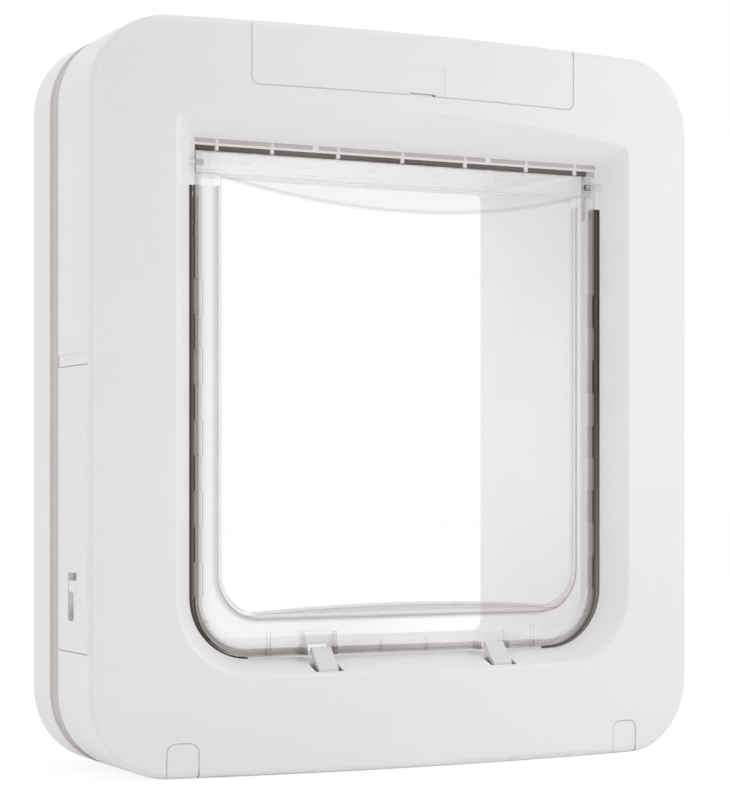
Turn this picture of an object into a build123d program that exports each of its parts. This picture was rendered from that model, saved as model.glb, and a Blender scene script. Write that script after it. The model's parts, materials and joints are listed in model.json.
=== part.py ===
from build123d import *
import os
from math import acos, cos, pi, radians, sin, sqrt, tan

os.makedirs("parts", exist_ok=True)

# Frame: X to the right, Y into the door, Z up. The origin is the middle of the bottom edge,
# in the plane of the interior face's left and right edges. All sizes are in millimetres.

# Opening and face
opening_width = 180.8
opening_height = 197.7
sill_height = 43.3
head_height = 44.0
jamb_width = 40.6
corner_radius = 30.0
wall = 2.6
face_bow = 14.0
face_clearance = 6.0
edge_round = 2.5
reveal_round = 1.6
reveal_rear = 3.0
side_flare = 0.883
lintel_flare = 0.735
sill_flare = 0.355
opening_low_radius = 24.0
opening_high_radius = 2.5
low_radius_growth = 0.36
fit_gap = 0.3
running_gap = 0.1

# Depths
casing_depth = 36.0
gasket_depth = 10.4
exterior_depth = 22.0
tunnel_reach = 35.5
throat_depth = 13.0
seal_seat = 0.5

# Flap
flap_side_gap = 2.5
flap_low_gap = 1.0
flap_low_radius = 22.0
rim_set_back = 0.3
rim_thickness = 2.4
rim_width = 8.9
rim_flange = 7.0
rim_flange_wall = 2.2
flange_end = 13.0
flap_wall = 2.0
window_bow = 8.0
window_step = 1.2
window_low_margin = 13.7
window_high_margin = 3.0
window_overrun = 2.0
window_low_radius = 18.0
low_ledge_slope = 0.6
high_ledge_slope = 1.55
barrel_radius = 4.5
barrel_flat = 2.6
barrel_slot_width = 3.0
barrel_slot_height = 0.9
barrel_slot_depth = 0.5
hinge_set_back = 1.6
hinge_drop = 9.0
pin_radius = 1.2
pin_reach = 3.0
bush_radius = 2.2
notch_pitch = 26.8
notch_height = 13.4
notch_width = 3.3
notch_depth = 1.2
notch_count = 5
notch_start = 22.9
corner_rib_offset = 20.0
corner_rib_width = 1.4
tick_x = 10.0
tick_width = 0.8
tick_height = 5.0

# Pile seals
pile_gap = 0.35
pile_set_back = 0.4
pile_depth = 6.0
pile_top_gap = 18.2
pile_low_half = 66.0
lintel_rib_width = 1.2
lintel_lip_drop = 2.3
lintel_lip_depth = 2.0
lintel_lip_edge = 0.7
lintel_groove_depth = 1.3
lintel_bridge_width = 2.4
lintel_rib_pitch = 28.0
lintel_rib_inset = 11.5

# Lock
latch_x = 38.0
latch_width = 8.2
latch_thickness = 2.0
latch_slot_gap = 1.8
latch_slot_front_reach = 13.6
latch_slot_back_reach = 6.0
latch_slot_drop = 9.4
latch_tip_reach = 4.6
latch_tip_rise = 2.9
latch_base_inset = 1.7
latch_base_drop = 5.0
latch_elbow_reach = 9.0
latch_elbow_drop = 11.8
shaft_set_back = 17.0
shaft_radius = 2.5
shaft_half_length = 54.0
hub_radius = 5.5
bracket_x = 50.0
bracket_width = 5.0
bracket_depth = 12.0
gear_module = 0.8
sector_teeth = 35
sector_cut_teeth = 7
pinion_teeth = 10
pressure_angle = 25.0
gear_backlash = 0.25
gear_width = 5.0
gear_left = -8.0
mesh_angle = 225.0
tooth_root = 1.4
tooth_step = 0.5
tooth_tip = 0.8
root_circle = 1.2
motor_width = 12.0
motor_height = 10.0
motor_length = 26.0
motor_gap = 3.0
motor_rise = 3.0
motor_shaft_radius = 1.0
motor_shaft_reach = 4.0
motor_shaft_room = 5.0
cradle_width = 3.0
cradle_inset = 2.0
keeper_wall = 1.2
keeper_side_gap = 1.6
keeper_front = 5.5
keeper_height = 5.0
keeper_lift = 4.0

# Battery bay
cover_width = 140.4
cover_height = 24.2
cover_reach = 24.0
cover_corner_radius = 3.0
seam_chamfer = 0.5
bead_radius = 2.0
trunnion_radius = 1.1
trunnion_length = 2.6
trunnion_root = 1.0
thumb_width = 20.0
thumb_height = 10.0
thumb_sink = 0.25
thumb_rise = 1.65
catch_width = 11.0
catch_height = 0.8
cell_radius = 7.25
cell_length = 50.5
cell_nub_radius = 2.75
cell_nub_length = 1.2
cell_pitch = 15.6
front_row = 2.0
tray_wall = 1.6
tray_drop = 25.0
shelf_x = 40.0
shelf_width = 3.0
contact_thickness = 0.5
contact_width = 10.2
button_radius = 2.6
button_travel = 1.5
button_margin = 6.5
button_round = 0.6
button_flange = 1.0
button_stand = 4.0
switch_depth = 3.0

# Screws and covers
screw_cover_inset = 34.5
screw_cover_width = 12.0
screw_cover_height = 13.2
screw_cover_reach = 9.0
screw_cover_radius = 3.5
low_screw_z = 8.0
high_screw_inset = 5.0
high_screw_drop = 9.0
fixing_radius = 2.0
fixing_proud = 4.6
fixing_head_radius = 3.6
fixing_head_height = 2.8
fixing_seat_depth = 9.0
fixing_boss_radius = 6.8
nut_flat = 7.0
nut_thickness = 3.2
recess_width = 1.0
recess_length = 4.4
recess_depth = 1.6
case_screw_radius = 1.5
case_screw_head = 3.0
case_screw_length = 14.0
case_boss_radius = 3.6
case_screw_inset = 19.0
case_screw_rise = 45.0

# Side panel and slider
panel_rise = 3.7
panel_height = 107.3
panel_nail_height = 4.7
panel_nail_sink = 0.5
panel_nail_front = 4.0
panel_front = 2.0
slot_front = 14.2
slot_width = 10.2
slot_sink = 0.7
slot_stem_width = 4.6
slot_window_height = 2.8
slot_rise = 11.4
slot_height = 18.4
knob_rise = 10.8
knob_height = 4.6
slot_radius = 2.0
slider_thickness = 1.8
slider_margin = 3.0
rail_width = 2.0
rail_overrun = 12.0

# Inner electronics
coil_gap = 2.5
coil_depth = 8.0
coil_thickness = 3.0
board_thickness = 1.6
board_width = 20.0
board_height = 110.0
board_rise = 28.7
board_edge_gap = 2.6
board_standoff = 4.0
# width, height, depth and rise of each chip
chip_sizes = ((12.0, 12.0, 1.4, 24.0), (6.0, 5.0, 1.6, 48.0), (9.0, 6.0, 6.0, 70.0), (14.0, 7.0, 8.0, 96.0))
flange_width = 9.0
flange_thickness = 2.8
tunnel_wall = 2.4
tunnel_inset = 1.0
tunnel_low_radius = 6.0
gasket_inset = 0.8
gasket_groove = 2.4
gasket_groove_depth = 2.2
gasket_width = 13.0
exterior_round = 2.5

# Worked-out places
frame_width = opening_width + 2 * jamb_width
frame_height = sill_height + opening_height + head_height
face_radius = ((frame_width / 2) ** 2 + face_bow**2) / (2 * face_bow)
lintel_height = sill_height + opening_height
front_clear = -face_bow - face_clearance
throat_back = reveal_rear + throat_depth
cover_plane = casing_depth - wall
exterior_front = casing_depth + gasket_depth
exterior_back = exterior_front + exterior_depth
tunnel_back = exterior_back + tunnel_reach
flap_half = opening_width / 2 - flap_side_gap
flap_low = sill_height + flap_low_gap
rim_front = reveal_rear + rim_set_back
rim_back = rim_front + rim_thickness
hinge_y = reveal_rear + hinge_set_back
hinge_z = lintel_height - hinge_drop
window_low = flap_low + window_low_margin
window_high = hinge_z - window_high_margin
lowest_notch = flap_low + notch_start
corner_rib_x = latch_x + corner_rib_offset
pile_start = reveal_rear + pile_set_back
bush_face = flap_half + fit_gap
throat_half = opening_width / 2 + seal_seat
lintel_rib_end = opening_width / 2 - lintel_rib_inset
lintel_rib_xs = (-lintel_rib_end, *(step * lintel_rib_pitch for step in range(-2, 3)), lintel_rib_end)
barrel_slot_xs = [(near + far) / 2 for near, far in zip(lintel_rib_xs, lintel_rib_xs[1:])]
latch_slot_front = reveal_rear - latch_slot_front_reach
latch_slot_back = reveal_rear - latch_slot_back_reach
latch_tip = (reveal_rear - latch_tip_reach, sill_height + latch_tip_rise)
latch_base = (latch_slot_front + latch_base_inset, sill_height - latch_base_drop)
latch_elbow = (reveal_rear - latch_elbow_reach, sill_height - latch_elbow_drop)
keeper_half = latch_width / 2 + keeper_side_gap + keeper_wall
keeper_top = flap_low + keeper_lift + keeper_height
shaft_y = reveal_rear + shaft_set_back
sector_radius = gear_module * sector_teeth / 2
pinion_radius = gear_module * pinion_teeth / 2
pinion_y = shaft_y + (sector_radius + pinion_radius) * cos(radians(mesh_angle))
pinion_z = wall + motor_rise + motor_height / 2
shaft_z = pinion_z - (sector_radius + pinion_radius) * sin(radians(mesh_angle))
root_depth = root_circle * gear_module
motor_left = gear_left + gear_width + motor_gap
cradle_xs = (motor_left + cradle_inset, motor_left + motor_length - cradle_inset - cradle_width)
cover_low = frame_height - cover_height
bead_y = cover_reach
bead_z = frame_height - bead_radius
tray_low = frame_height - tray_drop
cell_z = tray_low + tray_wall + cell_radius
cell_gap = contact_thickness / 2
tray_half = cell_gap + cell_length + contact_thickness + tray_wall
row_ys = (front_row, front_row + cell_pitch)
tray_front = front_row - cell_radius - tray_wall - fit_gap
tray_back = row_ys[1] + cell_radius + tray_wall + fit_gap
tray_high = cell_z + cell_radius / 2
button_x = tray_half + button_margin
ear_right = button_x + button_margin
ear_back = front_row + button_stand
flange_front = ear_back + tray_wall + fit_gap
switch_front = flange_front + button_flange + button_travel + fit_gap
screw_cover_x = frame_width / 2 - screw_cover_inset
high_screw_x = cover_width / 2 - high_screw_inset
high_screw_z = frame_height - high_screw_drop
fixing_seat = casing_depth - fixing_seat_depth
nut_back = exterior_front + nut_thickness + wall
fixing_places = (
    (-screw_cover_x, low_screw_z),
    (screw_cover_x, low_screw_z),
    (-high_screw_x, high_screw_z),
    (high_screw_x, high_screw_z),
)
case_x = frame_width / 2 - case_screw_inset
case_places = (
    (-case_x, case_screw_rise),
    (case_x, case_screw_rise),
    (-case_x, frame_height - case_screw_rise),
    (case_x, frame_height - case_screw_rise),
)
panel_low = sill_height + panel_rise
panel_high = panel_low + panel_height
panel_inside = -frame_width / 2 + wall
slot_back = slot_front + slot_width
stem_front = slot_back - slot_stem_width
slot_low = panel_low + slot_rise
slot_high = slot_low + slot_height
knob_low = slot_low + knob_rise
knob_high = knob_low + knob_height
slide_up = slot_high - knob_high
slide_down = knob_low - slot_low
slider_front = slot_front - slider_margin
slider_back = slot_back + slider_margin
tunnel_outer = tunnel_wall - tunnel_inset
coil_start = throat_back + coil_gap
board_low = sill_height + board_rise
board_back = cover_plane - board_standoff
board_right = frame_width / 2 - wall - board_edge_gap
board_left = board_right - board_width
board_mid = (board_left + board_right) / 2
board_posts = (board_low + board_width / 2, board_low + board_height - board_width / 2)


def face_plane(y):
    """The upright plane at depth y, with X across, Z up and its normal towards the viewer."""
    return Plane.XZ.offset(-y)


def bow_y(x):
    """Depth of the interior face's outer surface at x."""
    return face_radius - face_bow - sqrt(face_radius**2 - x**2)


def rod_x(y, z, radius, x0, x1, mode=Mode.ADD):
    """A round bar along X."""
    with BuildSketch(Plane.YZ.offset(x0)) as disc:
        with Locations((y, z)):
            Circle(radius)
    extrude(disc.sketch, amount=x1 - x0, mode=mode)


def rod_y(x, z, radius, y0, y1, mode=Mode.ADD):
    """A round bar along Y."""
    with BuildSketch(face_plane(y1)) as disc:
        with Locations((x, z)):
            Circle(radius)
    extrude(disc.sketch, amount=y1 - y0, mode=mode)


def block(x0, x1, y0, y1, z0, z1, mode=Mode.ADD):
    """A rectangular block between two corners."""
    with BuildSketch(face_plane(y1)) as end:
        with Locations(((x0 + x1) / 2, (z0 + z1) / 2)):
            Rectangle(x1 - x0, z1 - z0)
    extrude(end.sketch, amount=y1 - y0, mode=mode)


def frame_slab(y0, y1, inset, mode=Mode.ADD):
    """A slab with the frame's rounded outline, drawn in by inset."""
    with BuildSketch(face_plane(y1)) as outline:
        with Locations((0, frame_height / 2)):
            RectangleRounded(frame_width - 2 * inset, frame_height - 2 * inset, corner_radius - inset)
    extrude(outline.sketch, amount=y1 - y0, mode=mode)


def opening_sketch(y, grow, flare_depth=0.0, corner=opening_low_radius):
    """The opening's outline at depth y, grown outward and flared as at flare_depth before the rear edge."""
    width = opening_width + 2 * (side_flare * flare_depth + grow)
    low = sill_height - sill_flare * flare_depth - grow
    high = lintel_height + lintel_flare * flare_depth + grow
    with BuildSketch(face_plane(y)) as outline:
        with Locations((0, (low + high) / 2)):
            Rectangle(width, high - low)
        low_radius = corner + low_radius_growth * flare_depth + grow
        fillet(outline.vertices().group_by(Axis.Y)[0], low_radius)
        fillet(outline.vertices().group_by(Axis.Y)[-1], opening_high_radius + max(grow, 0))
    return outline.sketch


def opening_prism(y0, y1, grow, mode=Mode.ADD):
    """A straight prism of the opening's rear outline."""
    extrude(opening_sketch(y1, grow), amount=y1 - y0, mode=mode)


def tunnel_prism(y0, y1, grow, mode=Mode.ADD):
    """A straight prism of the tunnel's outline, the opening with squarer lower corners."""
    outline = opening_sketch(y1, grow, corner=tunnel_low_radius)
    extrude(outline, amount=y1 - y0, mode=mode)


def flap_prism(y0, y1, grow, high, mode=Mode.ADD):
    """A straight prism of the flap's outline up to a height."""
    low = flap_low - grow
    with BuildSketch(face_plane(y1)) as outline:
        with Locations((0, (low + high) / 2)):
            Rectangle(2 * (flap_half + grow), high - low)
        fillet(outline.vertices().group_by(Axis.Y)[0], flap_low_radius + grow)
    extrude(outline.sketch, amount=y1 - y0, mode=mode)


def reveal_form(grow, mode):
    """The flared form that narrows from the face to the flap."""
    rear = opening_sketch(reveal_rear, grow)
    front = opening_sketch(front_clear, grow, reveal_rear - front_clear)
    loft([rear, front], ruled=True, mode=mode)


def seam_edges(piece, open_z):
    """The edges round a cover's face, without the one at height open_z where the face turns the corner."""
    face = piece.faces().sort_by(Axis.Y)[0]
    return face.edges().filter_by(lambda edge: abs(edge.center().Z - open_z) > edge_round)


def save(piece, name):
    """Label a finished piece and write it."""
    piece.part.label = name
    export_step(piece.part, f"parts/{name}.step")


# Casing: the bowed outer form and the space inside it
with BuildPart() as casing_body:
    frame_slab(front_clear, casing_depth, 0)
    with BuildSketch(Plane.XY):
        with Locations((0, face_radius - face_bow)):
            Circle(face_radius)
    extrude(amount=frame_height, mode=Mode.INTERSECT)
    bowed_face = casing_body.faces().sort_by(Axis.Y)[0]
    fillet(bowed_face.edges(), edge_round)

with BuildPart() as casing_space:
    frame_slab(front_clear, casing_depth, wall)
    with BuildSketch(Plane.XY):
        with Locations((0, face_radius - face_bow)):
            Circle(face_radius - wall)
    extrude(amount=frame_height, mode=Mode.INTERSECT)
    reveal_form(wall, Mode.SUBTRACT)
    opening_prism(reveal_rear, throat_back, seal_seat + wall, Mode.SUBTRACT)


def cover_cut(gap, mode):
    """The battery cover's outline, cut straight through face and top."""
    low = cover_low - gap
    high = frame_height + wall
    with BuildSketch(face_plane(bead_y + (bead_radius + gap if gap else 0))) as outline:
        with Locations((0, (low + high) / 2)):
            Rectangle(cover_width + 2 * gap, high - low)
        fillet(outline.vertices().group_by(Axis.Y)[0], cover_corner_radius + gap)
    extrude(outline.sketch, amount=bead_y - front_clear + bead_radius + gap, mode=mode)


def screw_cover_cut(x, gap, mode):
    """A screw cover's outline, open at the bottom edge."""
    low = -wall
    high = screw_cover_height + gap
    with BuildSketch(face_plane(screw_cover_reach + gap)) as outline:
        with Locations((x, (low + high) / 2)):
            Rectangle(screw_cover_width + 2 * gap, high - low)
        fillet(outline.vertices().group_by(Axis.Y)[-1], screw_cover_radius + gap)
    extrude(outline.sketch, amount=screw_cover_reach + gap - front_clear, mode=mode)


def panel_cut(gap, mode):
    """The side panel's outline in the left wall."""
    left = -frame_width / 2 - wall
    right = -frame_width / 2 + wall + gap
    front = panel_front - gap / 3
    block(left, right, front, casing_depth + gap, panel_low - gap, panel_high + gap, mode)


# Interior frame
with BuildPart() as interior_frame:
    add(casing_body.part)
    add(casing_space.part, mode=Mode.SUBTRACT)
    reveal_form(0, Mode.SUBTRACT)
    front_face = interior_frame.faces().sort_by(Axis.Y)[0]
    fillet(front_face.inner_wires()[0].edges(), reveal_round)
    opening_prism(reveal_rear, throat_back, seal_seat, Mode.SUBTRACT)
    # openings for the battery cover, the screw covers, the side panel and the latches
    cover_cut(fit_gap, Mode.SUBTRACT)
    panel_cut(fit_gap, Mode.SUBTRACT)
    block(
        -frame_width / 2,
        -frame_width / 2 + panel_nail_sink,
        panel_nail_front,
        casing_depth,
        panel_high,
        panel_high + panel_nail_height,
        Mode.SUBTRACT,
    )
    for side in (-1, 1):
        screw_cover_cut(side * screw_cover_x, fit_gap, Mode.SUBTRACT)
        slot_half = latch_width / 2 + latch_slot_gap
        slot_centre = side * latch_x
        block(
            slot_centre - slot_half,
            slot_centre + slot_half,
            latch_slot_front,
            latch_slot_back,
            sill_height - latch_slot_drop,
            sill_height,
            Mode.SUBTRACT,
        )
    # cheeks at the ends of the hinge, with seats for its bushes
    for side in (-1, 1):
        near, far = sorted((side * bush_face, side * (throat_half + wall / 2)))
        block(
            near,
            far,
            reveal_rear,
            pile_start + pile_depth,
            lintel_height - pile_top_gap + fit_gap,
            lintel_height + wall / 2,
        )
        near, far = sorted((side * bush_face, side * (throat_half + wall)))
        rod_x(hinge_y, hinge_z, bush_radius, near, far, Mode.SUBTRACT)
    # grooved lip and ribs along the lintel, in front of the top seal
    lip_back = reveal_rear + lintel_lip_depth
    lip_low = lintel_height - lintel_lip_drop
    block(
        -throat_half,
        throat_half,
        reveal_rear + lintel_groove_depth,
        lip_back,
        lip_low,
        lintel_height + wall,
    )
    block(-throat_half, throat_half, reveal_rear, lip_back, lip_low, lip_low + lintel_lip_edge)
    for side in (-1, 1):
        bridge_left = side * latch_x - lintel_bridge_width / 2
        bridge_right = side * latch_x + lintel_bridge_width / 2
        block(bridge_left, bridge_right, reveal_rear, lip_back, lip_low, lintel_height + wall)
    for x in lintel_rib_xs:
        block(
            x - lintel_rib_width / 2,
            x + lintel_rib_width / 2,
            pile_start,
            pile_start + lintel_rib_width,
            hinge_z + barrel_radius + fit_gap,
            lintel_height + wall,
        )
    # shelf ribs under the battery tray and cradle ribs under the motor
    for side in (-1, 1):
        block(
            side * shelf_x - shelf_width / 2,
            side * shelf_x + shelf_width / 2,
            reveal_rear - wall,
            throat_back - wall,
            lintel_height + wall + seal_seat / 2,
            tray_low,
        )
    for x in cradle_xs:
        block(
            x,
            x + cradle_width,
            pinion_y - motor_width / 2,
            pinion_y + motor_width / 2,
            wall / 2,
            pinion_z - motor_height / 2,
        )
    # ears that hold the battery cover's trunnions
    for side in (-1, 1):
        ear_outside = side * (cover_width / 2 + 2 * trunnion_length)
        near, far = sorted((side * (cover_width / 2 + fit_gap), ear_outside))
        block(near, far, bead_y - bead_radius, bead_y + bead_radius, bead_z - 2 * bead_radius, bead_z)
        tip = side * (cover_width / 2 + trunnion_length + fit_gap)
        near, far = sorted((side * cover_width / 2, tip))
        rod_x(bead_y, bead_z, trunnion_radius + running_gap, near, far, Mode.SUBTRACT)
    # bosses for the case screws and the fixing screws
    for x, z in case_places:
        rod_y(x, z, case_boss_radius, bow_y(x) + wall / 2, cover_plane)
        rod_y(x, z, case_screw_radius, casing_depth - case_screw_length, cover_plane, Mode.SUBTRACT)
    for x, z in fixing_places:
        rod_y(x, z, fixing_boss_radius, fixing_seat, cover_plane)
        rod_y(x, z, fixing_radius + fit_gap, fixing_seat, cover_plane, Mode.SUBTRACT)
save(interior_frame, "interior_frame")

# Side panel with the slider's slot and guide rails
with BuildPart() as side_panel:
    add(casing_body.part)
    panel_cut(0, Mode.INTERSECT)
    add(casing_space.part, mode=Mode.SUBTRACT)
    for rail_front in (slider_front - fit_gap - rail_width, slider_back + fit_gap):
        block(
            panel_inside - wall / 2,
            panel_inside + slider_thickness + fit_gap,
            rail_front,
            rail_front + rail_width,
            panel_low + wall,
            slot_high + rail_overrun,
        )
    with BuildSketch(Plane.YZ.offset(-frame_width / 2)) as slot_outline:
        with Locations(((slot_front + slot_back) / 2, (slot_low + slot_high) / 2)):
            Rectangle(slot_back - slot_front, slot_high - slot_low)
        fillet(slot_outline.vertices().group_by(Axis.Y)[0], slot_radius)
    extrude(amount=slot_sink, mode=Mode.SUBTRACT)
    with BuildSketch(Plane.YZ.offset(-frame_width / 2)) as stem_outline:
        with Locations(((stem_front + slot_back) / 2, (slot_low + slot_high) / 2)):
            Rectangle(slot_stem_width, slot_high - slot_low)
        fillet(stem_outline.vertices().group_by(Axis.Y)[0], slot_radius)
        with Locations(((slot_front + slot_back) / 2, slot_high - slot_window_height / 2)):
            Rectangle(slot_back - slot_front, slot_window_height)
    extrude(amount=2 * wall, mode=Mode.SUBTRACT)
save(side_panel, "side_panel")

# Lock slider: a plate behind the panel with a knob in the slot
with BuildPart() as lock_slider:
    block(
        panel_inside + fit_gap,
        panel_inside + fit_gap + slider_thickness,
        slider_front,
        slider_back,
        slot_low - slider_margin + slide_down - slide_up,
        slot_high + slide_up,
    )
    with BuildSketch(Plane.YZ.offset(-frame_width / 2 + running_gap)) as knob_outline:
        with Locations(((slot_front + slot_back) / 2, (knob_low + knob_high) / 2)):
            Rectangle(slot_back - slot_front - 2 * fit_gap, knob_high - knob_low)
        fillet(knob_outline.vertices().group_by(Axis.Y)[0], slot_radius)
    extrude(amount=slot_sink - 2 * running_gap)
    with BuildSketch(Plane.YZ.offset(-frame_width / 2 + slot_sink / 2)) as stem:
        with Locations(((stem_front + slot_back) / 2, (knob_low + knob_high) / 2)):
            Rectangle(slot_stem_width - 2 * fit_gap, knob_high - knob_low)
        fillet(stem.vertices().group_by(Axis.Y)[0], slot_radius)
    extrude(amount=wall + fit_gap)
    chamfer(lock_slider.faces().sort_by(Axis.X)[0].edges(), fit_gap)
save(lock_slider, "lock_slider")

# Rear cover
with BuildPart() as rear_cover:
    frame_slab(cover_plane, casing_depth, wall + fit_gap)
    tunnel_prism(cover_plane, casing_depth, tunnel_outer + fit_gap, Mode.SUBTRACT)
    for x, z in fixing_places:
        rod_y(x, z, fixing_radius + fit_gap, cover_plane, casing_depth, Mode.SUBTRACT)
    for z in board_posts:
        rod_y(board_mid, z, case_boss_radius, board_back, cover_plane)
    with Locations(Plane.XZ.offset(-casing_depth)):
        with Locations(*[Location((x, z, 0), (180, 0, 0)) for x, z in case_places]):
            CounterSinkHole(case_screw_radius + fit_gap / 2, case_screw_head, wall)
save(rear_cover, "rear_cover")

# Tunnel: a sleeve with a flange held behind the rear cover
with BuildPart() as tunnel:
    tunnel_prism(throat_back, tunnel_back, tunnel_outer)
    tunnel_prism(cover_plane - flange_thickness, cover_plane, tunnel_outer + flange_width)
    tunnel_prism(throat_back, tunnel_back, -tunnel_inset, Mode.SUBTRACT)
save(tunnel, "tunnel")

# Exterior frame
with BuildPart() as exterior_space:
    frame_slab(exterior_front, exterior_back - wall, wall)
    tunnel_prism(exterior_front, exterior_back, tunnel_outer + fit_gap + wall, Mode.SUBTRACT)
    for x, z in fixing_places:
        rod_y(x, z, fixing_boss_radius, exterior_front + wall, exterior_back, Mode.SUBTRACT)

with BuildPart() as exterior_frame:
    frame_slab(exterior_front, exterior_back, 0)
    fillet(exterior_frame.faces().sort_by(Axis.Y)[-1].edges(), exterior_round)
    add(exterior_space.part, mode=Mode.SUBTRACT)
    tunnel_prism(exterior_front, exterior_back, tunnel_outer + fit_gap, Mode.SUBTRACT)
    for x, z in fixing_places:
        rod_y(x, z, fixing_radius + fit_gap, exterior_front, exterior_back - 2 * wall, Mode.SUBTRACT)
        with BuildSketch(face_plane(nut_back)):
            with Locations((x, z)):
                RegularPolygon(nut_flat / 2 + fit_gap / 2, 6, major_radius=False)
        extrude(amount=nut_thickness + wall, mode=Mode.SUBTRACT)
save(exterior_frame, "exterior_frame")

# Door gasket
with BuildPart() as door_gasket:
    frame_slab(casing_depth, casing_depth + gasket_groove_depth, gasket_inset + gasket_groove)
    frame_slab(casing_depth + gasket_groove_depth, exterior_front, gasket_inset)
    frame_slab(casing_depth, exterior_front, gasket_inset + gasket_width, Mode.SUBTRACT)
    for x, z in fixing_places:
        rod_y(x, z, fixing_radius + 2 * fit_gap, casing_depth, exterior_front, Mode.SUBTRACT)
save(door_gasket, "door_gasket")

# Fixing screws, nuts and case screws
with BuildPart() as fixing_screws:
    for x, z in fixing_places:
        rod_y(x, z, fixing_radius, fixing_seat, nut_back + fixing_proud)
        rod_y(x, z, fixing_head_radius, fixing_seat - fixing_head_height, fixing_seat)
        with BuildSketch(face_plane(fixing_seat - fixing_head_height + recess_depth)):
            with Locations((x, z)):
                Rectangle(recess_width, recess_length)
                Rectangle(recess_length, recess_width)
        extrude(amount=recess_depth, mode=Mode.SUBTRACT)
save(fixing_screws, "fixing_screws")

with BuildPart() as fixing_nuts:
    for x, z in fixing_places:
        with BuildSketch(face_plane(nut_back)):
            with Locations((x, z)):
                RegularPolygon(nut_flat / 2, 6, major_radius=False)
                Circle(fixing_radius, mode=Mode.SUBTRACT)
        extrude(amount=nut_thickness)
save(fixing_nuts, "fixing_nuts")

with BuildPart() as case_screws:
    for x, z in case_places:
        with BuildSketch(Plane.YZ.offset(x)):
            with BuildLine():
                Polyline(
                    (casing_depth - case_screw_length, z),
                    (casing_depth, z),
                    (casing_depth, z + case_screw_head - fit_gap / 2),
                    (casing_depth - case_screw_head + case_screw_radius, z + case_screw_radius),
                    (casing_depth - case_screw_length, z + case_screw_radius),
                    close=True,
                )
            make_face()
        revolve(axis=Axis((x, 0, z), (0, 1, 0)))
save(case_screws, "case_screws")


# Flap
def window_form(inset):
    """The bowed window's form, drawn in by inset: clipped by the two ledges and the rounded sides."""
    half = flap_half - rim_width
    side_bow = window_bow - window_step
    radius = (half**2 + side_bow**2) / (2 * side_bow)
    rear = rim_back + 2 * inset
    reach = window_bow + window_overrun
    with BuildPart() as form:
        with BuildSketch(Plane.YZ.offset(-half - window_overrun)):
            with BuildLine():
                Polyline(
                    (rear, window_low),
                    (rim_front, window_low),
                    (rim_front - reach, window_low + low_ledge_slope * reach),
                    (rim_front - reach, window_high - high_ledge_slope * reach),
                    (rim_front, window_high),
                    (rear, window_high),
                    close=True,
                )
            make_face()
            if inset:
                offset(amount=-inset)
        extrude(amount=2 * (half + window_overrun))
        with BuildSketch(Plane.XY.offset(window_low)):
            with Locations((0, rim_front - window_bow + radius)):
                Circle(radius - inset)
        extrude(amount=window_high - window_low, mode=Mode.INTERSECT)
        with BuildSketch(face_plane(rear)) as outline:
            with Locations((0, (window_low + window_high) / 2)):
                Rectangle(2 * (half - inset), window_high - window_low - 2 * inset)
            fillet(outline.vertices().group_by(Axis.Y)[0], window_low_radius - inset)
        extrude(amount=rear + reach, mode=Mode.INTERSECT)
    return form.part


window_outside = window_form(0)
window_inside = window_form(flap_wall)

with BuildPart() as flap:
    # flat rim with a flange behind its edge
    flap_prism(rim_front, rim_front + rim_flange, 0, hinge_z)
    flap_prism(rim_back, rim_front + rim_flange, -rim_flange_wall, hinge_z, Mode.SUBTRACT)
    block(
        -flap_half,
        flap_half,
        rim_back,
        rim_front + rim_flange,
        hinge_z - flange_end,
        hinge_z,
        Mode.SUBTRACT,
    )
    # bowed window
    add(window_outside)
    add(window_inside, mode=Mode.SUBTRACT)
    # hinge barrel
    rod_x(hinge_y, hinge_z, barrel_radius, -flap_half, flap_half)
    barrel_front = hinge_y - barrel_flat
    block(
        -flap_half,
        flap_half,
        hinge_y - barrel_radius,
        barrel_front,
        window_high,
        hinge_z + barrel_radius,
        Mode.SUBTRACT,
    )
    for x in barrel_slot_xs:
        block(
            x - barrel_slot_width / 2,
            x + barrel_slot_width / 2,
            barrel_front,
            barrel_front + barrel_slot_depth,
            hinge_z,
            hinge_z + barrel_slot_height,
            Mode.SUBTRACT,
        )
    for side in (-1, 1):
        near, far = sorted((side * (flap_half - pin_reach * pin_radius), side * flap_half))
        rod_x(hinge_y, hinge_z, pin_radius, near, far, Mode.SUBTRACT)
    # stepped edge: shallow notches down both sides
    for side in (-1, 1):
        near, far = sorted((side * (flap_half - notch_width), side * flap_half))
        for step in range(notch_count):
            low = lowest_notch + step * notch_pitch
            block(near, far, rim_front, rim_front + notch_depth, low, low + notch_height, Mode.SUBTRACT)
        block(
            side * corner_rib_x - corner_rib_width / 2,
            side * corner_rib_x + corner_rib_width / 2,
            rim_front - corner_rib_width,
            rim_front,
            flap_low,
            flap_low + rim_width,
        )
        block(
            side * tick_x - tick_width / 2,
            side * tick_x + tick_width / 2,
            rim_front - tick_width,
            rim_front,
            flap_low,
            flap_low + tick_height,
        )
    # latch keepers: hoods over the latch tips, open below
    for side in (-1, 1):
        x = side * latch_x
        block(
            x - keeper_half,
            x + keeper_half,
            rim_front - keeper_front,
            rim_front,
            flap_low,
            keeper_top,
        )
        block(
            x - keeper_half + keeper_wall,
            x + keeper_half - keeper_wall,
            rim_front - keeper_front + keeper_wall,
            rim_front,
            flap_low,
            keeper_top - keeper_wall,
            Mode.SUBTRACT,
        )
        block(
            x - keeper_half + keeper_wall,
            x + keeper_half - keeper_wall,
            rim_front - keeper_front,
            rim_front + rim_flange,
            flap_low,
            flap_low + keeper_lift,
            Mode.SUBTRACT,
        )
save(flap, "flap")


# Hinge pins and bushes
def make_pin(side):
    """A steel pin pressed into the end of the barrel."""
    near, far = sorted((side * (flap_half - pin_reach * pin_radius), side * (throat_half + wall)))
    with BuildPart() as pin:
        rod_x(hinge_y, hinge_z, pin_radius, near, far)
    return pin


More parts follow.
